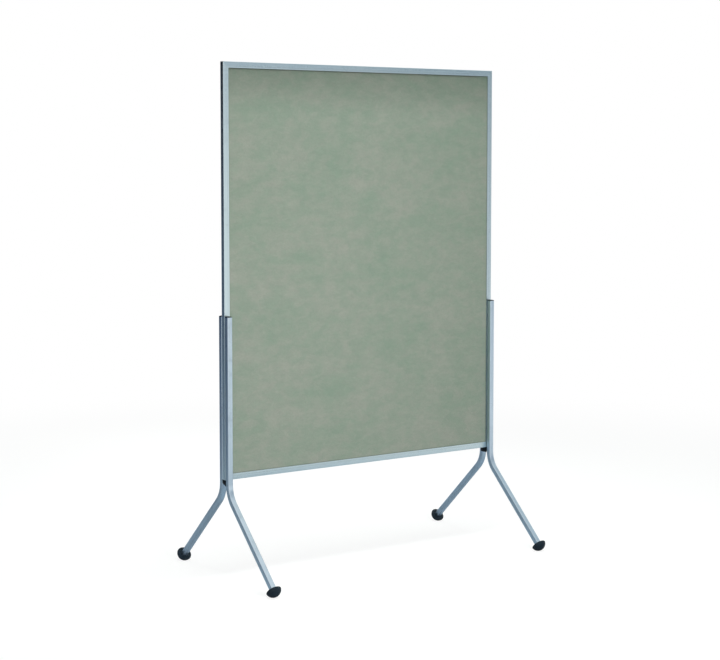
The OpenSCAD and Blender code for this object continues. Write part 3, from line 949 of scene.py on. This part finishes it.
class DIVIDER_OT_caps(bpy.types.Operator):
    """Build the domed caps on the tube tops"""
    bl_idname = "divider.caps"
    bl_label = "Tube caps"
    # Rings of the plug in the tube and of the cap's skirt
    plug = ((-0.0008, 0.001, -0.024), (0.0, 0.0015, -0.022), (0.0, 0.0015, -0.0001))
    skirt = ((-0.0004, -0.0003, 0.00005), (-0.0001, 0.0, 0.0002), (0.0, 0.0, 0.0004), (0.0, 0.0, 0.0009))
    # Rings of the domed top: each one's share of the width, and how far the rounded edge sinks it
    top = ((1.0, 0.0005), (0.985, 0.00018), (0.96, 0.00004), (0.92, 0.0), (0.84, 0.0), (0.72, 0.0),
           (0.58, 0.0), (0.42, 0.0), (0.26, 0.0), (0.12, 0.0))
    rounding = 0.35

    def domed(self, legs, half, share, sunk):
        """A ring of the cap's top, at a share of its width, rounder and higher the further in it lies."""
        wide = half * share
        rounder = wide * self.rounding * (1 - share)
        points = ring(wide, min(wide, legs.corner_radius * share + rounder), 0.0)
        for point in points:
            drop = legs.cap_radius - math.sqrt(legs.cap_radius ** 2 - point.length ** 2)
            point.z = legs.cap_height - drop - sunk
        return points

    def execute(self, context):
        legs = context.scene.divider_legs
        half = TUBE_SIDE / 2 - PLAY
        rows = rings(self.plug, half - legs.wall) + rings(self.skirt, half, legs.corner_radius)
        rows += [self.domed(legs, half, share, sunk) for share, sunk in self.top]
        for name, _, _, top in each_leg():
            mesh = lofted(name + "_tube_cap", rows)
            mesh.transform(top)
            dressed(mesh, "black_plastic", name + "_cap")
        return {"FINISHED"}


class DIVIDER_OT_blocks(bpy.types.Operator):
    """Build the two stop blocks under the panel"""
    bl_idname = "divider.blocks"
    bl_label = "Stop blocks"

    def prism(self, name, x_low, x_high, outline):
        count = len(outline)
        sides = [(i, (i + 1) % count, count + (i + 1) % count, count + i) for i in range(count)]
        points = [(x, y, z) for x in (x_low, x_high) for y, z in outline]
        return put_in_scene(name, solid(name, points, [range(count), range(count, 2 * count), *sides]))

    def execute(self, context):
        sizes = context.scene.divider_fittings
        front, rear = -TUBE_LOW.y, TUBE_LOW.y
        top, bottom = BLOCK_HIGH.z, BLOCK_LOW.z
        body = [(front, top), (rear, top), (rear, top - sizes.block_shallow), (front, bottom)]
        high, low = top - sizes.cheek_inset, bottom + sizes.cheek_inset
        cheek = [(BLOCK_LOW.y, high), (rear, high), (rear, low), (BLOCK_LOW.y, low)]
        inner = BLOCK_LOW.x + TUBE_SIDE
        for side_name, side in SIDES.items():
            piece = self.prism(side_name + "_block", BLOCK_LOW.x, inner, body)
            plate = self.prism("cheek", inner - sizes.cheek_overlap, BLOCK_HIGH.x, cheek)
            kept(piece, [("BOOLEAN", {"operation": "UNION", "solver": "EXACT", "object": plate}),
                         broken_edges(sizes.block_bevel, 3)])
            bpy.data.objects.remove(plate)
            if side > 0:
                piece.data.transform(Matrix.Rotation(math.pi, 4, "Z"))
            piece.data.materials.clear()
            piece.data.materials.append(finish_of("black_plastic"))
            piece.data.shade_smooth()
            settle(piece, "black_plastic", side_name + "_stop_block")
        return {"FINISHED"}


class DIVIDER_OT_fittings(bpy.types.Operator):
    """Build the cross bolts and slide washers"""
    bl_idname = "divider.fittings"
    bl_label = "Bolts and washers"

    # A bolt's head: its broken edge where it bears, the ring round its socket, and the socket's drilled floor
    soft, brim, floor_radius, floor_depth = 0.0002, 0.0026, 0.0009, 0.0024
    # The socket going down: its share of the key's size, and its depth
    mouth = ((1.06, 0.0), (0.99, 0.0002), (0.98, 0.0017))
    # Steps round a quarter of a bolt
    around = 12

    def bolt(self, sizes):
        """A button head bolt with a hexagon socket, its head up along +Z from where it bears."""
        shank, chamfer, head, soft = sizes.shank_radius, sizes.shank_chamfer, HEAD_RADIUS, self.soft
        edge, crown, height = sizes.head_edge, sizes.crown_radius, sizes.head_height
        reach = BOLT_HIGH.y - height - BOLT_LOW.y
        rows = [(shank - chamfer, -reach), (shank, -reach + chamfer), (shank, 0.0), (head - soft, 0.0),
                (head, soft), (head, edge)]
        rows += [(crown + (head - crown) * math.cos(turn), edge + (height - edge) * math.sin(turn))
                 for turn in quarter(6)]
        made = circles([*rows, (self.brim, height)], self.around)
        angles = [math.tau * (i + 0.5) / (4 * self.around) for i in range(4 * self.around)]
        for share, depth in self.mouth:
            outline = []
            for angle in angles:
                away = sizes.socket / 2 / math.cos(angle % (math.pi / 3) - math.pi / 6) * share
                outline.append(Vector((math.cos(angle) * away, math.sin(angle) * away, height - depth)))
            made.append(outline)
        made += circles([(self.floor_radius, height - self.floor_depth)], self.around)
        return smooth(lofted("bolt", made), 30.0)

    def washer(self, sizes):
        outer, inner, half, soft = WASHER_RADIUS, sizes.washer_bore, RAIL_GAP / 2 - PLAY, sizes.washer_edge
        rows = [(outer - soft, -half), (outer, -half + soft), (outer, half - soft), (outer - soft, half),
                (inner + soft, half), (inner, half - soft), (inner, -half + soft), (inner + soft, -half)]
        return smooth(lofted("washer", circles(rows), closed=True), 30.0)

    def execute(self, context):
        sizes = context.scene.divider_fittings
        patterns = {}
        for name, mesh in (("bolt", self.bolt(sizes)), ("washer", self.washer(sizes))):
            mesh.transform(Matrix.Rotation(-math.pi / 2, 4, "X"))
            patterns[name] = put_in_scene(name + "_pattern", mesh)
        head_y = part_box("right_rear_leg")[0].y + TUBE_SIDE
        washer_y = (TUBE_LOW.y + PANEL_SIZE.y / 2) / 2
        for side_name, side in SIDES.items():
            x = side * LEG_X
            bolts = [(x, head_y, z) for z in (BOLT_LOW.z + HEAD_RADIUS, *CLAMP_HEIGHTS)]
            washers = [(x, face * washer_y, z) for z in CLAMP_HEIGHTS for face in FACES.values()]
            for kind, places, slot, node, seed in (("bolt", bolts, "zinc_steel", "cross_bolts", 5),
                                                   ("washer", washers, "white_nylon", "slide_washers", 9)):
                piece = grown(f"{side_name}_{kind}s", mesh_of("places", places), repeated_fitting(), {
                    "Fitting": patterns[kind], "Most Turn": math.tau, "Seed": seed + side,
                    "Finish": finish_of(slot)})
                settle(piece, slot, f"{side_name}_{node}")
        for pattern in patterns.values():
            bpy.data.objects.remove(pattern)
        return {"FINISHED"}


class DIVIDER_OT_inner_parts(bpy.types.Operator):
    """Give the CAD parts that stay their materials"""
    bl_idname = "divider.inner_parts"
    bl_label = "Inner parts"

    def execute(self, context):
        slots = {"corner_key": "key_aluminium", "corner_screws": "zinc_steel", "core_board": "fibre_board",
                 "rivet_nuts": "zinc_steel"}
        for node, piece in frame["nodes"].items():
            if not piece.hide_render:
                slot = next(s for part, s in slots.items() if part in node)
                for place in piece.material_slots:
                    place.material = finish_of(slot)
        return {"FINISHED"}


class DIVIDER_OT_stage(bpy.types.Operator):
    """Set up the camera, the lamps, the floor and the white surroundings"""
    bl_idname = "divider.stage"
    bl_label = "Stage"

    def lamp(self, name, power, place, aim, size, colour, spread=180.0):
        data = bpy.data.lights.new(name, "AREA")
        data.shape, data.size, data.size_y = "RECTANGLE", size[0], size[1]
        data.energy, data.spread, data.color = power, math.radians(spread), colour
        lamp = put_in_scene(name, data)
        lamp.location = place
        lamp.rotation_euler = (Vector(aim) - Vector(place)).to_track_quat("-Z", "Y").to_euler()
        lamp.visible_glossy = lamp.visible_camera = False

    def bare(self, owner):
        """The emptied node tree of a new material or world."""
        owner.use_nodes = True
        owner.node_tree.nodes.clear()
        return Net(owner.node_tree)

    def upright(self, start, end, low, high):
        """The corners of a card that stands on a line over the floor, from one height to another."""
        return [(*start, low), (*end, low), (*end, high), (*start, high)]

    def level(self, start, end, height):
        """The corners of a card that lies level, from one corner to the one across."""
        return [(*start, height), (end[0], start[1], height), (*end, height), (start[0], end[1], height)]

    def staged(self, name, corners, material):
        mesh = mesh_of(name, corners, faces=[(0, 1, 2, 3)])
        mesh.materials.append(material)
        made = put_in_scene(name, mesh)
        return made

    def card(self, name, corners, tones=None, cover=1.0):
        """A studio card. With tones, only a gloss shows it. Without, it only keeps light away."""
        material = bpy.data.materials.new(name)
        net = self.bare(material)
        card = self.staged(name, corners, material)
        if tones:
            held = card.data.color_attributes.new("tone", "FLOAT_COLOR", "POINT")
            for place, colour in zip(held.data, tones):
                place.color = (*colour, 1.0)
            surface = net.glow(net.add("ShaderNodeAttribute", attribute_name="tone"))
        else:
            threads = net.matt((0.02, 0.02, 0.02, 1.0))
            surface = net.either(cover, net.add("ShaderNodeBsdfTransparent"), threads)
        net.node("ShaderNodeOutputMaterial", {"Surface": surface})
        card.visible_camera = card.visible_transmission = False
        card.visible_glossy = bool(tones)
        card.visible_diffuse = card.visible_shadow = not tones

    def seen(self, net):
        """1 for what the camera sees, straight, in a gloss or through glass."""
        path = net.node("ShaderNodeLightPath").outputs
        return net.maths("MAXIMUM", net.maths("MAXIMUM", path["Is Camera Ray"], path["Is Glossy Ray"]),
                         path["Is Transmission Ray"])

    def floor(self, stage):
        """White as far as the camera sees, apart from the object's shadow. A gloss shows some grey in it."""
        material = bpy.data.materials.new("floor")
        net = self.bare(material)
        place, white = net.object_place(), net.glow(WHITE)
        grey, dusk = net.matt((0.42, 0.43, 0.44, 1.0)), net.matt((0.28, 0.36, 0.46, 1.0))
        grain = net.spread(net.noise(place, 3.0, 3.0), 0.3, 0.7)
        pale = net.matt(net.varied((0.95,) * 3, grain, 0.99, 1.0))
        pale = net.add("ShaderNodeAddShader", {0: pale, 1: net.glow(WHITE, stage.floor_lift)})
        near = net.spread(net.distance(place), 1.2, 4.5, stage.floor_shade, 0.0)
        behind = net.spread(net.distance(place, (-0.3, 0.8, 0.0)), 1.3, 3.5, stage.floor_depth, 0.0)
        gloss = net.node("ShaderNodeLightPath").outputs["Is Glossy Ray"]
        shown = net.either(gloss, net.either(near, white, pale), net.either(behind, white, dusk))
        above = net.either(self.seen(net), grey, shown)
        under = net.node("ShaderNodeNewGeometry").outputs["Backfacing"]
        surface = net.either(under, above, net.add("ShaderNodeBsdfTransparent"))
        net.node("ShaderNodeOutputMaterial", {"Surface": surface})
        reach, height = 40.0, -0.0002
        self.staged("floor", self.level((-reach, -reach), (reach, reach), height), material)

    def surroundings(self, stage):
        world = bpy.context.scene.world = bpy.data.worlds.new("surroundings")
        net = self.bare(world)
        light, white = (net.add("ShaderNodeBackground", {"Color": colour, "Strength": strength})
                        for colour, strength in (((0.88, 1.0, 0.97, 1.0), stage.ambient), (WHITE, 1.0)))
        net.node("ShaderNodeOutputWorld", {"Surface": net.either(self.seen(net), light, white)})

    def camera(self, stage):
        data = bpy.data.cameras.new("camera")
        data.lens, data.sensor_width, data.shift_y = stage.lens, 36.0, stage.shift
        camera = bpy.context.scene.camera = put_in_scene("camera", data)
        camera.location = stage.camera_place
        camera.rotation_euler = (math.pi / 2 - stage.camera_dip, 0, -stage.camera_turn)

    def shading_cards(self):
        """Two that keep the top lamp off the panel's front: an opaque one, and a net above it."""
        left, right = (-2.0, -0.75), (2.0, -0.75)
        self.card("flag", [(*left, 1.79), (*right, 1.71), (*right, 1.9), (*left, 1.9)])
        self.card("net", self.upright(left, right, 1.9, 2.8), cover=0.55)

    def mirrored_cards(self):
        """What the metal mirrors: dark behind and to the left, brighter to the right, in front and above."""
        black, dusk = (0.0, 0.0, 0.0), (0.13, 0.18, 0.26)
        for name, start, end in (("rear", (-3.6, 1.6), (-0.3, 2.1)), ("left", (-4.6, -1.0), (-3.6, 1.6))):
            self.card(name + "_card", self.upright(start, end, 0.0, 2.1), (dusk, dusk, black, black))
            self.card(name + "_upper_card", self.upright(start, end, 2.1, 3.0), (black,) * 4)
        bright, dull = (0.51, 0.565, 0.66), (0.23, 0.3, 0.36)
        side, above = (0.47, 0.5, 0.57), (0.6, 0.66, 0.7)
        front, corner, far = (0.5, -4.9), (4.8, -4.9), (8.0, -4.9)
        self.card("header_card", self.upright(front, corner, 1.9, 5.0), (bright, dull, dull, bright))
        self.card("corner_card", self.upright(corner, far, 1.9, 5.0), (dull,) * 4)
        self.card("side_card", self.upright((3.6, -4.9), far, 0.0, 1.9), (side,) * 4)
        self.card("ceiling_card", self.level((2.0, -2.5), (6.0, 2.5), 3.2), (above,) * 4)

    def lamps(self, stage):
        """A key lamp in front, a broad one above, and one behind that casts no shadow."""
        wide = (1.6, 1.4)
        self.lamp("key", stage.key_power, (-0.7, -4.3, 1.4), (-0.35, 0, 1.0), wide, (1.0, 0.965, 0.97), 80.0)
        self.lamp("top", stage.top_power, (0.0, -0.6, 4.2), (0, -0.2, 0.9), (2.6, 0.9), (0.92, 1.0, 0.96))
        self.lamp("rear", stage.rear_power, (0.7, 4.3, 1.4), (0.35, 0, 1.0), wide, (1.0, 1.0, 0.99), 80.0)
        bpy.data.lights["rear"].use_shadow = False

    def execute(self, context):
        stage = context.scene.divider_stage
        self.camera(stage)
        self.floor(stage)
        self.surroundings(stage)
        self.lamps(stage)
        self.shading_cards()
        self.mirrored_cards()
        context.scene.view_settings.view_transform = "Standard"
        return {"FINISHED"}


OPERATORS = (DIVIDER_OT_stage, DIVIDER_OT_rails, DIVIDER_OT_felts, DIVIDER_OT_tubes, DIVIDER_OT_feet,
             DIVIDER_OT_caps, DIVIDER_OT_blocks, DIVIDER_OT_fittings, DIVIDER_OT_inner_parts)


class DIVIDER_PT_panel(bpy.types.Panel):
    """Lists the pieces that can be built"""
    bl_idname = "DIVIDER_PT_panel"
    bl_label = "Divider panel"
    bl_space_type = "VIEW_3D"
    bl_region_type = "UI"
    bl_category = "Divider"

    def draw(self, context):
        for operator in OPERATORS:
            self.layout.operator(operator.bl_idname)
        for name, group in SETTINGS.items():
            box = self.layout.box()
            box.label(text=group.__doc__.rstrip("."))
            for key in group.__annotations__:
                box.prop(getattr(context.scene, name), key)


def register():
    for group in (*SETTINGS.values(), *OPERATORS, DIVIDER_PT_panel):
        bpy.utils.register_class(group)
    for name, group in SETTINGS.items():
        setattr(bpy.types.Scene, name, bpy.props.PointerProperty(type=group))


def unregister():
    for name in SETTINGS:
        delattr(bpy.types.Scene, name)
    for group in (DIVIDER_PT_panel, *reversed(OPERATORS), *reversed(SETTINGS.values())):
        bpy.utils.unregister_class(group)


def main():
    register()
    for step in ("stage", "rails", "felts", "tubes", "feet", "caps", "blocks", "fittings", "inner_parts"):
        getattr(bpy.ops.divider, step)()


if __name__ == "__main__":
    main()
